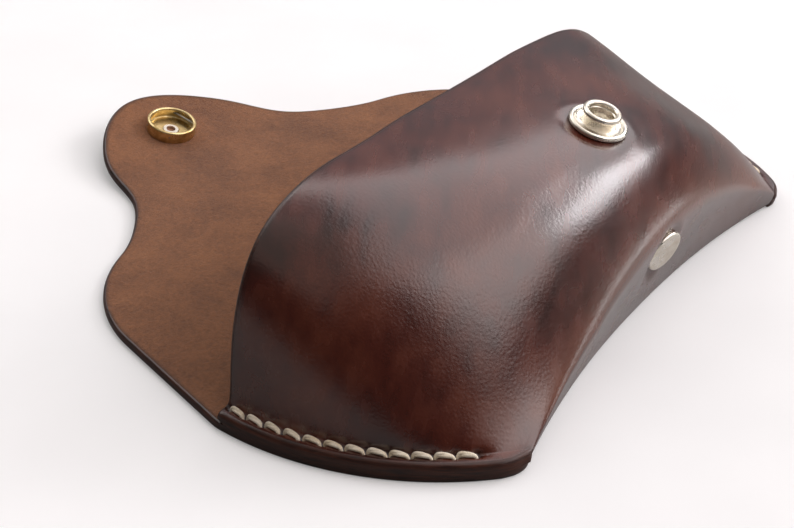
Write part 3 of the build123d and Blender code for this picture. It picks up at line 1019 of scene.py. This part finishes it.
@dataclass
class Finishes:
    """Every finish of the case, made once."""

    leather: list[bpy.types.Material] = field(init=False)
    thread: bpy.types.Material = field(init=False)
    nickel: bpy.types.Material = field(init=False)
    brass: bpy.types.Material = field(init=False)
    wire: bpy.types.Material = field(init=False)

    def __post_init__(self) -> None:
        """Makes the materials."""
        self.leather = [WaxedGrain().material(), SuedeFlesh().material(), BurnishedEdge().material()]
        self.thread = WaxedLinen().material()
        # Nickel plate over pressed brass: bright and warm, greyer where handling has dulled it
        self.nickel = SheetMetal("polished_nickel_plate").material()
        # Rolled brass under old lacquer: yellow and shiny, browner in the patches that have tarnished
        self.brass = SheetMetal("rolled_brass", "#E4CE9A", "#B2965F", 0.26, 0.42).material()
        # Drawn spring steel: grey, with a satin shine along the wire
        self.wire = SheetMetal("drawn_spring_steel", "#B9B6AF", "#86827A", 0.25, 0.4).material()


@dataclass
class PouchFront:
    """Arched front of the pouch with its sewing margins and the outer layer of the bottom."""

    finishes: Finishes
    margin_columns: int = 9
    arch_columns: int = 190
    rows: int = 96
    bottom_rows: int = 44
    section_y: float = 44.0
    section_points: int = 1200
    bulge: float = 1.0
    edge_turn: float = 1.2
    edge_rounds: int = 30
    dents: SeamDents = SeamDents(groove=0.2, pit=0.8)
    crease_rounds: int = 16
    crease_reach: tuple[float, float] = (6.0, 12.0)
    ridge_rows: float = 5.0
    ridge_heights: tuple[float, float] = (4.5, 9.0)
    foot_rounds: int = 5
    foot_reach: tuple[float, float] = (2.5, 6.0)
    wave_seed: int = 4
    wave_length: float = 30.0
    wave_height: float = 0.14
    wave_heights: tuple[float, float] = (5.0, 12.0)
    stud_seat: tuple[float, float] = (6.4, 9.5)
    rivet_seat: tuple[float, float] = (4.9, 8.0)
    flex_place: tuple[float, float] = (-50.0, 27.0)
    flex_width: tuple[float, float] = (22.0, 14.0)
    sewn_heights: tuple[float, float] = (3.0, 4.5)
    sewn_end: tuple[float, float] = (49.8, 51.4)

    def arch_places(self) -> np.ndarray:
        """Places across the arch that are evenly spaced round a section near the mouth."""
        u = np.sin(np.linspace(-math.pi / 2, math.pi / 2, self.section_points))
        section = PATTERN.arch_point(u, np.full_like(u, self.section_y))
        places = resample(np.column_stack([section, u]), np.linspace(0.0, 1.0, self.arch_columns))[:, 3]
        places[0], places[-1] = -1.0, 1.0
        return places

    def margin_column(self, out: float, end: End) -> np.ndarray:
        """One column of a sewing margin, out millimetres beyond the arch's foot, from the mouth downwards."""
        low = 2.0  # a first guess, which the rounds bring to the bottom edge
        for _ in range(self.edge_rounds):
            x = float(PATTERN.side_half_width(low)) - PATTERN.rise_margin + out
            edge = float(PATTERN.bottom_face_y(np.array(x), PATTERN.leather))
            low = edge + self.bulge * float(smoothstep(0.0, self.edge_turn, np.array(out)))
            low += float(PATTERN.corner_cut(PATTERN.rise_margin - self.bulge - out))
        top = PATTERN.pouch_depth - self.bulge
        y = top + (low - top) * np.linspace(0.0, 1.0, self.rows)
        x = end.value * (PATTERN.side_half_width(y) - PATTERN.rise_margin + out)
        return np.stack([x, y, np.full_like(y, 2 * PATTERN.leather)], axis=-1)

    def arch(self) -> np.ndarray:
        """Columns of the arch from the mouth over the rounded crease and down the bottom's face."""
        u = self.arch_places()
        crease = PATTERN.crease_y(u)
        top = PATTERN.pouch_depth - self.bulge
        share = np.linspace(0.0, 1.0, self.rows)[:, None]
        face = PATTERN.arch_point(u[None, :], top + (crease - top)[None, :] * share)
        corner = face[-1]
        low = PATTERN.bottom_lift + self.bulge
        z = corner[:, 2] + (low - corner[:, 2]) * np.linspace(0.0, 1.0, self.bottom_rows + 1)[1:, None]
        x = np.broadcast_to(corner[:, 0], z.shape)
        arch = np.concatenate([face, np.stack([x, PATTERN.bottom_face_y(x, z), z], axis=-1)])
        near_crease = 1.0 - smoothstep(*self.crease_reach, np.abs(np.arange(len(arch)) - (self.rows - 1.0)))
        return arch + (soften(arch, self.crease_rounds, 0) - arch) * near_crease[:, None, None]

    def net(self) -> tuple[np.ndarray, np.ndarray, np.ndarray]:
        """The grain side as points and quads.

        Returns:
            The points, the quads and a value for each point that is 1 on the crease's ridge.
        """
        arch = self.arch()
        outs = np.linspace(0.0, PATTERN.rise_margin - self.bulge, self.margin_columns + 1)[1:]
        near = np.stack([self.margin_column(out, End.NEAR) for out in outs[::-1]], axis=1)
        far = np.stack([self.margin_column(out, End.FAR) for out in outs], axis=1)
        upper = np.concatenate([near, arch[: self.rows], far], axis=1)
        foot = np.abs(np.arange(upper.shape[1]) - self.margin_columns)
        foot = np.minimum(foot, foot[::-1]).astype(float)
        rounded = (1.0 - smoothstep(*self.foot_reach, foot))[None, :, None]
        upper = upper + (soften(upper, self.foot_rounds, 1) - upper) * rounded
        lower = arch[self.rows :]
        numbers = number_grid(upper)
        foot_row = numbers[-1:, self.margin_columns : -self.margin_columns]
        joined = np.concatenate([foot_row, number_grid(lower, numbers.size)])
        quads = np.concatenate([grid_quads(numbers), grid_quads(joined)])
        above = np.repeat(bell(np.arange(self.rows) - self.rows + 1.0, self.ridge_rows), upper.shape[1])
        below = np.repeat(bell(np.arange(self.bottom_rows) + 1.0, self.ridge_rows), lower.shape[1])
        points = np.concatenate([upper.reshape(-1, 3), lower.reshape(-1, 3)])
        return points, quads, np.concatenate([above, below])

    def build(self) -> bpy.types.Object:
        """Builds the front and lets it replace its solid."""
        points, quads, ridge = self.net()
        sheet = LeatherSheet("front_leather", points, quads, bulge=self.bulge)
        waves = soft_waves(points[:, 0], points[:, 1] - points[:, 2], self.wave_seed, self.wave_length)
        rise = smoothstep(*self.wave_heights, points[:, 2]) * self.wave_height
        points = points + sheet.normals() * (waves * rise)[:, None]
        points = press_seat(points, PATTERN.stud_place(), *self.stud_seat)
        sheet.points = press_seat(points, PATTERN.rivet_place(), *self.rivet_seat)
        # Dents the seams and marks where shade is painted into the awl holes and groove
        sheet.dent, sheet.marks["hole"] = self.dents.press(sheet.points)
        # The crease's ridge, which the grain's material paints lighter: partly wear, partly a painted highlight
        sheet.marks["ridge"] = ridge * smoothstep(*self.ridge_heights, sheet.points[:, 2])
        across, along = ((points[:, k] - self.flex_place[k]) / self.flex_width[k] for k in (0, 1))
        sheet.marks["flex"] = np.exp(-(across**2) - along**2)
        sewn = (points[:, 2] > self.sewn_heights[0]) & (points[:, 2] < self.sewn_heights[1])
        sheet.joined = sewn * (1.0 - smoothstep(*self.sewn_end, points[:, 1]))
        made = sheet.build(self.finishes.leather)
        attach(made, "pouch")
        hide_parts("front_panel")
        return made


@dataclass
class FlapBack:
    """Back of the pouch and the flap, cut in one: two sheets that meet above the shut case's spine."""

    finishes: Finishes
    margin_columns: int = 10
    middle_columns: int = 57
    margin_width: float = 5.0
    bulge: float = 0.6
    split_y: float = 92.0
    straight_end_y: float = 103.0
    side_end_y: float = 137.5
    straight_rows: int = 14
    tip_rows: int = 52
    pouch_rows: int = 96
    pouch_rows_end: float = 50.0
    spine_rows: int = 46
    spine_rows_start: float = 50.5
    bottom_reach: float = 22.0
    bottom_rounds: int = 3
    layer_gap: float = 0.1
    layer_rows: int = 40
    layer_drop: float = 3.6
    layer_least: float = 2.6
    layer_blend: float = 4.0
    foot_seat: tuple[float, float] = (4.5, 8.0)
    dents: SeamDents = SeamDents(groove=0.55, pit=0.6)
    fold_rounds: int = 22
    fold_reach: tuple[float, float] = (8.0, 14.0)
    sewn_end: tuple[float, float] = (50.0, 54.0)
    lower_bend_half: float = 4.0
    upper_bend_half: float = 5.0

    def half_width(self, y: np.ndarray) -> np.ndarray:
        """Half width of the whole sheet at a depth."""
        outline = PATTERN.flap_outline()
        above = np.interp(y, outline[:, 1], outline[:, 0])
        pouch = PATTERN.side_half_width(np.minimum(y, PATTERN.pouch_depth))
        return np.where(y <= PATTERN.pouch_depth, pouch, above)

    def across(self, half: np.ndarray) -> np.ndarray:
        """Places across rows of given half width: close together in the margins, even between them."""
        inset = np.linspace(0.0, self.margin_width - self.bulge, self.margin_columns)
        middle = np.linspace(-1.0, 1.0, self.middle_columns + 2)[1:-1]
        width = np.minimum(1.0, half / (2.5 * self.margin_width))[:, None]
        edge = half[:, None] - self.bulge - inset[None, :] * width
        return np.concatenate([-edge, middle[None, :] * edge[:, -1:], edge[:, ::-1]], axis=1)

    def flat_rows(self, depths: np.ndarray) -> np.ndarray:
        """Flat rows of the sheet's plan, with z = 0."""
        x = self.across(self.half_width(depths))
        return np.stack([x, np.broadcast_to(depths[:, None], x.shape), np.zeros_like(x)], axis=-1)

    def bottom(self, rows: np.ndarray) -> np.ndarray:
        """Moves the rows near the bottom to its bowed edge; the middle ends at the fold inside the front."""
        inside = np.zeros(rows.shape[1], bool)
        inside[self.margin_columns : -self.margin_columns] = True
        depths = rows[:, :, 1]
        fade = 1.0 - smoothstep(0.0, self.bottom_reach, depths)
        bent = rows.copy()
        for _ in range(self.bottom_rounds):
            edge = PATTERN.bottom_face_y(bent[:, :, 0], np.where(inside, 0.0, PATTERN.leather)[None, :])
            inward = self.half_width(bent[:, :, 1]) - self.bulge - np.abs(bent[:, :, 0])
            offset = np.where(inside, PATTERN.leather + self.layer_gap, self.bulge + PATTERN.corner_cut(inward))
            bent[:, :, 1] = depths + (edge + offset) * fade
            for column in range(bent.shape[1]):
                bent[:, column, 0] = self.across(self.half_width(bent[:, column, 1]))[:, column]
        return bent

    def turned_up(self, first: np.ndarray) -> np.ndarray:
        """Rows of the inner bottom layer, from its top edge down to the fold."""
        u = np.linspace(-1.0, 1.0, 300)
        crease = PATTERN.arch_point(u, PATTERN.crease_y(u))
        x = first[:, 0]
        rise = np.interp(x, crease[:, 0], crease[:, 2]) - self.layer_drop - self.layer_least
        top = self.layer_least + (rise + np.sqrt(rise**2 + self.layer_blend)) / 2
        z = top * (1.0 - np.linspace(0.0, 1.0, self.layer_rows)[:-1, None])
        wide = np.broadcast_to(x, z.shape)
        return np.stack([wide, PATTERN.bottom_face_y(wide, z, PATTERN.leather + self.layer_gap), z], axis=-1)

    def build_back(self) -> bpy.types.Object:
        """Builds the back of the pouch and the flap's spine."""
        pouch = np.linspace(0.0, self.pouch_rows_end, self.pouch_rows)
        spine = np.linspace(self.spine_rows_start, self.split_y, self.spine_rows)
        rows = self.bottom(self.flat_rows(np.concatenate([pouch, spine])))
        inner = slice(self.margin_columns, -self.margin_columns)
        flap = self.turned_up(rows[0, inner])
        column = np.concatenate([flap, rows[:, inner]])
        near_fold = 1.0 - smoothstep(*self.fold_reach, np.abs(np.arange(len(column)) - float(len(flap))))
        column = column + (soften(column, self.fold_rounds, 0) - column) * near_fold[:, None, None]
        flap, rows[:, inner] = column[: len(flap)], column[len(flap) :]
        points = np.concatenate([rows.reshape(-1, 3), flap.reshape(-1, 3)])
        squeezed = Matrix.Translation((0.0, 0.0, PATTERN.leather - PATTERN.rivet_grip))
        points = press_seat(points, PATTERN.rivet_place() @ squeezed, *self.foot_seat)
        numbers = number_grid(rows)
        folded = np.concatenate([number_grid(flap, numbers.size), numbers[:1, inner]])
        quads = np.concatenate([grid_quads(numbers), grid_quads(folded)])
        # Dents the seams and marks where shade is painted into the awl holes and groove
        dent, hole = self.dents.press(points + [0.0, 0.0, PATTERN.leather])
        butt = points[:, 1] > self.split_y - 0.01
        sheet = LeatherSheet("back_leather", points, quads, bulge=self.bulge, butt=butt, dent=dent)
        sheet.joined = 1.0 - smoothstep(*self.sewn_end, points[:, 1])
        sheet.marks = {"hole": hole, "ridge": np.zeros(len(points)), "flex": np.zeros(len(points))}
        made = sheet.build(self.finishes.leather)
        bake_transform(made)
        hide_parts("back_panel", "flap_spine")
        return made

    def tip_row(self) -> np.ndarray:
        """Last row of the flap's plan, round its tip."""
        outline = PATTERN.flap_outline()
        end_half = float(self.half_width(np.array(self.side_end_y)))
        half = np.concatenate([[[end_half, self.side_end_y]], outline[outline[:, 1] > self.side_end_y]])
        tip = np.concatenate([half, (half * [-1, 1])[::-1][1:]])[::-1]
        direction = np.gradient(tip, axis=0)
        outward = np.stack([-direction[:, 1], direction[:, 0]], axis=1)
        tip = tip - outward / np.linalg.norm(outward, axis=1, keepdims=True) * self.bulge
        places = self.across(np.array([end_half]))[0]
        return resample(tip, (places - places[0]) / (places[-1] - places[0]))

    def tongue_rows(self) -> np.ndarray:
        """Plan of the flap's free end: straight rows that bow out into the round tip."""
        tip = self.tip_row()
        straight = np.linspace(self.split_y, self.straight_end_y, self.straight_rows)
        rows = [self.flat_rows(straight)[:, :, :2]]
        for q in np.linspace(0.0, 1.0, self.tip_rows)[1:]:
            side = self.straight_end_y + q * (self.side_end_y - self.straight_end_y)
            plain = self.flat_rows(np.array([side]))[0, :, :2]
            round_x = tip[:, 0] / tip[-1, 0] * plain[-1, 0]
            x = plain[:, 0] + (round_x - plain[:, 0]) * q**2
            y = plain[:, 1] + (tip[:, 1] - tip[0, 1]) * q**1.6 + (tip[0, 1] - self.side_end_y) * q**4
            rows.append(np.stack([x, y], axis=-1)[None])
        return np.concatenate(rows)

    def build_flap(self) -> bpy.types.Object:
        """Builds the free end of the flap with its curl."""
        plan = self.tongue_rows()
        bend = PATTERN.spine_start + PATTERN.spine_length
        past = np.clip(plan[:, :, 1] - bend - PATTERN.tongue_straight, 0.0, None)
        z = PATTERN.tongue_radius - np.sqrt(PATTERN.tongue_radius**2 - past**2)
        numbers = np.arange(z.size).reshape(z.shape)
        points = np.concatenate([plan, z[:, :, None]], axis=-1).reshape(-1, 3)
        butt = points[:, 1] < self.split_y + 0.01
        sheet = LeatherSheet("flap_leather", points, grid_quads(numbers), bulge=self.bulge, butt=butt)
        sheet.marks = dict.fromkeys(("hole", "ridge", "flex"), np.zeros(len(points)))
        made = sheet.build(self.finishes.leather)
        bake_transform(made)
        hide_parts("flap_tongue")
        return made


@dataclass
class SeamStitches:
    """Saddle stitching of one end: twisted thread over and under the two margins."""

    end: End
    finishes: Finishes
    strand_radius: float = 0.36
    twist_radius: float = 0.19
    twist_pitch: float = 9.0
    slant: float = -0.48
    seed: int = 11
    sides: int = 12
    steps: int = 34

    def strand(self, path: np.ndarray, phase: float) -> tuple[np.ndarray, np.ndarray]:
        """One ply wound round a path.

        Args:
            path: The thread's middle line.
            phase: Where round the thread this ply starts, in turns.

        Returns:
            The points and quads of a tube.
        """
        line = resample(path, np.linspace(0.0, 1.0, self.steps))
        tangent = np.gradient(line, axis=0)
        tangent /= np.linalg.norm(tangent, axis=1, keepdims=True)
        along = np.concatenate([[0.0], np.cumsum(np.linalg.norm(np.diff(line, axis=0), axis=1))])
        side = np.cross(line[-1] - line[0], [0.0, 0.0, 1.0])
        side = np.broadcast_to(side / np.linalg.norm(side), line.shape)
        up = np.cross(side, tangent)
        turn = 2 * math.pi * (along / self.twist_pitch + phase)
        middle = line + (np.cos(turn)[:, None] * side + np.sin(turn)[:, None] * up) * self.twist_radius
        ring = np.linspace(0, 2 * math.pi, self.sides, endpoint=False)[None, :, None]
        spread = np.cos(ring) * side[:, None] + np.sin(ring) * up[:, None]
        points = (middle[:, None] + spread * self.strand_radius).reshape(-1, 3)
        numbers = np.arange(len(points)).reshape(self.steps, self.sides)
        return points, grid_quads(np.concatenate([numbers, numbers[:, :1]], axis=1))

    def path(self, hole: int, shares: Sequence[float], heights: Sequence[float], slant: float) -> np.ndarray:
        """Smooth middle line of a stitch between two holes.

        Args:
            hole: Number of the stitch's first hole.
            shares: Places between the two holes.
            heights: Heights of the thread there.
            slant: How far the ends stand aside, in opposite directions.

        Returns:
            The line's points.
        """
        a, b = PATTERN.seam_point(hole, self.end), PATTERN.seam_point(hole + 1, self.end)
        along = (b - a) / np.linalg.norm(b - a)
        aside = np.array([-along[1], along[0]]) * self.end.value * slant
        share = np.array(shares)[:, None]
        knots = np.column_stack([a + (b - a) * share + aside * (1.0 - 2.0 * share), heights])
        start, end = knots[1] - knots[0], knots[-1] - knots[-2]
        return fit_spline(knots, start / np.linalg.norm(start), end / np.linalg.norm(end), 6)

    def stitch(self, hole: int) -> list[np.ndarray]:
        """Middle lines of one stitch: over the front at a hand's uneven slant, and along the back in its groove."""
        random = np.random.default_rng([self.seed, hole])
        over = self.path(
            hole,
            [0.13, 0.135, 0.17, 0.3, 0.5, 0.7, 0.83, 0.865, 0.87],
            [2.4, 3.5, 3.98, 4.16, 4.2, 4.16, 3.98, 3.5, 2.4],
            self.slant * random.uniform(0.75, 1.25),
        )
        under = self.path(hole, [0.05, 0.1, 0.22, 0.5, 0.78, 0.9, 0.95], [2.0, 1.2, 0.72, 0.66, 0.72, 1.2, 2.0], 0.0)
        return [over, under]

    def build(self) -> bpy.types.Object:
        """Builds all the stitches of the end as one thread."""
        points, faces, total = [], [], 0
        for hole in range(PATTERN.stitch_count):
            for path in self.stitch(hole):
                for phase in (0.6, 1.1):
                    tube, quads = self.strand(path, phase)
                    points.append(tube)
                    faces.extend((quads + total).tolist())
                    faces.append(list(range(total, total + self.sides)))
                    total += len(tube)
                    faces.append(list(range(total - 1, total - 1 - self.sides, -1)))
        name = self.end.name.lower()
        made = make_object(f"{name}_seam_stitches", np.concatenate(points), faces)
        made.data.materials.append(self.finishes.thread)
        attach(made, "pouch")
        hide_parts(f"{name}_seam_thread")
        return made


@dataclass
class TurnedPart:
    """A metal part spun from its half section, given anticlockwise, round its own axis."""

    name: str
    node: str
    body: str
    slot: str
    profile: np.ndarray
    place: Matrix
    finish: bpy.types.Material
    around: int = 96
    sharp: float = 35.0

    def build(self) -> bpy.types.Object:
        """Builds the part and lets it replace its solid."""
        ring = np.linspace(0, 2 * math.pi, self.around, endpoint=False)[:, None]
        radius, height = self.profile[:, 0], self.profile[:, 1]
        local = np.stack([np.cos(ring) * radius, np.sin(ring) * radius, np.ones_like(ring) * height], axis=-1)
        matrix = np.array(self.place)
        points = local.reshape(-1, 3) @ matrix[:3, :3].T + matrix[:3, 3]
        numbers = np.arange(len(points)).reshape(self.around, -1)
        numbers = np.concatenate([numbers, numbers[:1]])
        if radius[0] > 0:
            numbers = np.concatenate([numbers, numbers[:, :1]], axis=1)
        made = make_object(self.name, points, grid_quads(numbers)[:, ::-1], sharp=180.0)
        self.join_axis(made.data)
        made.data.materials.append(self.finish)
        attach(made, self.body)
        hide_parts(self.node)
        return made

    def join_axis(self, mesh: bpy.types.Mesh) -> None:
        """Joins the points that lie together on the axis, and keeps the pressed corners sharp."""
        shape = bmesh.new()
        shape.from_mesh(mesh)
        bmesh.ops.remove_doubles(shape, verts=shape.verts, dist=1e-7)
        shape.to_mesh(mesh)
        shape.free()
        mesh.set_sharp_from_angle(angle=math.radians(self.sharp))


def bead(radius: float, height: float, size: float, start: float, end: float, steps: int = 14) -> list[list[float]]:
    """Rolled bead in a half section.

    Args:
        radius: Distance of the bead's middle from the axis.
        height: Height of the bead's middle.
        size: The bead's own radius.
        start: Angle of its first point, in degrees from outward.
        end: Angle of its last point.
        steps: Number of points less one.

    Returns:
        The bead's points.
    """
    turns = [math.radians(start + (end - start) * k / steps) for k in range(steps + 1)]
    return [[radius + size * math.cos(t), height + size * math.sin(t)] for t in turns]


@dataclass
class SnapAndRivet:
    """The snap's stud, socket and cap, and the rivet of the bottom."""

    finishes: Finishes
    cap_seat: float = -1.75

    def stud_profile(self) -> np.ndarray:
        """Dished flange with a rolled rim, a waisted neck and a hollow ring with a rolled top."""
        outer = [[2.1, 0.0], [5.3, 0.0], *bead(5.48, 0.6, 0.62, -75, 165, 20)]
        dish = [[4.7, 0.5], [4.4, 0.36], [4.0, 0.32], [3.7, 0.36], [3.45, 0.5], [3.32, 0.8]]
        neck = [[3.22, 1.3], [3.2, 1.9], [3.28, 2.4], *bead(3.38, 3.08, 0.62, -55, 235, 24)]
        inside = [[2.86, 2.4], [2.82, 1.5], [2.76, 0.8], [2.55, 0.42], [2.1, 0.3]]
        return np.array([*outer, *dish, *neck, *inside])

    def socket_profile(self) -> np.ndarray:
        """Cup with a rolled lip that holds the spring wires."""
        outside = [[1.7, 0.0], [5.5, 0.0], [5.8, 0.1], [5.9, 0.35], [5.86, 1.4], [5.88, 2.2]]
        lip = bead(5.45, 2.55, 0.45, -10, 200, 16)
        inside = [[5.2, 2.1], [5.4, 1.6], [5.4, 0.6], [5.2, 0.36], [4.8, 0.3], [1.7, 0.3]]
        return np.array([*outside, *lip, *inside])

    def cap_profile(self) -> np.ndarray:
        """Low dome with a rolled edge on the outside of the flap, and its clenched post."""
        seat = self.cap_seat
        dome = [[6.3 * math.sin(t), seat - 0.45 - 0.95 * math.cos(t)] for t in np.linspace(0.0, 1.45, 16)]
        post = [[1.7, seat], [1.7, 0.0], [2.0, 0.3], [1.8, 0.55], [1.1, 0.55], [1.05, seat + 0.1], [0.0, seat + 0.1]]
        return np.array([*dome, [6.3, seat - 0.2], [6.2, seat], *post])

    def rivet_profile(self) -> np.ndarray:
        """Flat round cap with a softly rounded edge and a faint dish, bored for its pin."""
        face = [[3.6, 1.0], [2.8, 0.97], [1.6, 0.94], [0.0, 0.93]]
        bore = [[1.1, 0.5], [1.1, 0.0], [4.3, 0.0]]
        return np.array([[0.0, 0.5], *bore, *bead(4.1, 0.5, 0.5, -70, 90, 12), *face])

    def build(self) -> list[bpy.types.Object]:
        """Builds the four turned parts."""
        stud, socket, rivet = PATTERN.stud_place(), PATTERN.socket_place(), PATTERN.rivet_place()
        nickel, brass = self.finishes.nickel, self.finishes.brass
        parts = [
            TurnedPart("snap_stud_pressed", "snap_stud", "pouch", "nickel", self.stud_profile(), stud, nickel),
            TurnedPart("snap_socket_pressed", "snap_socket", "tongue", "brass", self.socket_profile(), socket, brass),
            TurnedPart("snap_cap_pressed", "snap_cap", "tongue", "nickel", self.cap_profile(), socket, nickel),
            TurnedPart("rivet_cap_pressed", "rivet_cap", "pouch", "nickel", self.rivet_profile(), rivet, nickel),
        ]
        return [part.build() for part in parts]

    def dress_solids(self) -> None:
        """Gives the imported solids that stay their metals."""
        metals = {
            "stud_eyelet": self.finishes.nickel,
            "rivet_post": self.finishes.nickel,
            "near_spring_wire": self.finishes.wire,
            "far_spring_wire": self.finishes.wire,
        }
        for name, metal in metals.items():
            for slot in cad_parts[name].material_slots:
                slot.material = metal


@dataclass
class Studio:
    """Pale sweep, a dim room with six soft boxes, and the camera at the photograph's angle, in metres."""

    camera_place: tuple[float, float, float] = (-0.2489, -0.1595, 0.1643)
    camera_right: tuple[float, float, float] = (0.5421, -0.8394, 0.0389)
    camera_up: tuple[float, float, float] = (0.4134, 0.3067, 0.8574)
    camera_back: tuple[float, float, float] = (-0.7316, -0.4487, 0.5132)
    lens: float = 68.0
    sensor: float = 36.0
    floor_half: float = 3.0
    lamp_aim: tuple[float, float, float] = (0.0, 0.0, 0.02)
    bright_side: tuple[float, float, float] = (0.58, 0.41, 0.7)
    dim: float = 0.04
    bright: float = 0.28

    def camera(self) -> None:
        """Sets up the camera."""
        data = bpy.data.cameras.new("camera")
        data.lens, data.sensor_width = self.lens, self.sensor
        data.clip_start, data.clip_end = 0.01, 50.0
        made = bpy.data.objects.new("camera", data)
        rows = [list(row) for row in zip(self.camera_right, self.camera_up, self.camera_back, self.camera_place)]
        made.matrix_world = Matrix(rows + [[0.0, 0.0, 0.0, 1.0]])
        bpy.context.scene.collection.objects.link(made)
        bpy.context.scene.camera = made

    def floor(self) -> None:
        """Lays the paper sweep under the case."""
        half = self.floor_half
        mesh = bpy.data.meshes.new("paper_sweep")
        corners = [(-half, -half, -0.0001), (half, -half, -0.0001), (half, half, -0.0001), (-half, half, -0.0001)]
        mesh.from_pydata(corners, [], [(0, 1, 2, 3)])
        made = add_object("paper_sweep", mesh)
        mesh.materials.append(PaleSweep().material())

    def lamp(self, name: str, place: Sequence[float], size: Sequence[float], power: float, colour: str) -> None:
        """Adds one soft box that faces the case.

        Args:
            name: The lamp's name.
            place: Where it hangs, in metres.
            size: Its width and height, in metres.
            power: Its power, in watts.
            colour: Its colour.
        """
        data = bpy.data.lights.new(name, "AREA")
        data.shape = "RECTANGLE"
        data.size, data.size_y = size
        data.energy, data.color = power, linear(colour)[:3]
        made = add_object(name, data)
        made.location = place
        made.rotation_euler = (Vector(self.lamp_aim) - Vector(place)).to_track_quat("-Z", "Y").to_euler()

    def world(self) -> None:
        """Lights the room's far side softly and leaves the near side dim; the camera sees plain white."""
        world = bpy.data.worlds.new("studio_room")
        bpy.context.scene.world = world
        world.use_nodes = True
        tree = world.node_tree
        tree.nodes.clear()
        output = tree.nodes.new("ShaderNodeOutputWorld")
        direction = add_node(tree, "ShaderNodeTexCoord").outputs["Generated"]
        facing = add_node(
            tree, "ShaderNodeVectorMath", {"operation": "DOT_PRODUCT", 1: self.bright_side}, {0: direction}
        ).outputs["Value"]
        strength = add_node(
            tree,
            "ShaderNodeMapRange",
            {
                "From Min": 0.35,
                "From Max": 0.95,
                "To Min": self.dim,
                "To Max": self.bright,
                "interpolation_type": "SMOOTHSTEP",
            },
            {"Value": facing},
        ).outputs["Result"]
        room = add_node(tree, "ShaderNodeBackground", {"Color": linear("#F4F3FA")}, {"Strength": strength})
        white = add_node(tree, "ShaderNodeBackground", {"Color": WHITE, "Strength": 1.0})
        rays = add_node(tree, "ShaderNodeLightPath")
        mix = add_node(
            tree,
            "ShaderNodeMixShader",
            {},
            {0: rays.outputs["Is Camera Ray"], 1: room.outputs["Background"], 2: white.outputs["Background"]},
        )
        tree.links.new(mix.outputs["Shader"], output.inputs["Surface"])

    def build(self) -> None:
        """Sets up the whole studio."""
        bpy.context.scene.view_settings.view_transform = "Standard"
        self.camera()
        self.floor()
        self.world()
        self.lamp("window_wall", (0.402, -0.337, 0.909), (2.2, 1.2), 12.8, "#FFF8F9")
        self.lamp("side_window", (0.089, -0.845, 0.617), (0.9, 0.5), 1.7, "#FFF2EE")
        self.lamp("window", (0.65, -0.49, 0.489), (0.5, 0.3), 3.4, "#FFFCFF")
        self.lamp("crease_strip", (0.62, -0.8, 0.03), (0.7, 0.055), 0.6, "#FFFFFF")
        self.lamp("room_fill", (-0.517, 0.091, 0.909), (1.2, 1.0), 1.3, "#FFF4EA")
        self.lamp("back_window", (0.1, 0.75, 0.72), (0.8, 0.6), 3.2, "#FFFCFA")


def main() -> None:
    """Builds the case and its studio, and reports each piece."""
    logging.basicConfig(level=logging.INFO, format="%(message)s")
    finishes = Finishes()
    front = PouchFront(finishes).build()
    LOG.info("%s: arched front and outer bottom layer", front.name)
    backs = FlapBack(finishes)
    for piece in (backs.build_back(), backs.build_flap()):
        LOG.info("%s: back and flap", piece.name)
    for end in End:
        LOG.info("%s: hand stitching", SeamStitches(end, finishes).build().name)
    hardware = SnapAndRivet(finishes)
    for piece in hardware.build():
        LOG.info("%s: pressed metal", piece.name)
    hardware.dress_solids()
    LOG.info("packed solids that stay: dressed")
    Studio().build()
    LOG.info("studio: camera, paper sweep and soft boxes")


if __name__ == "__main__":
    main()
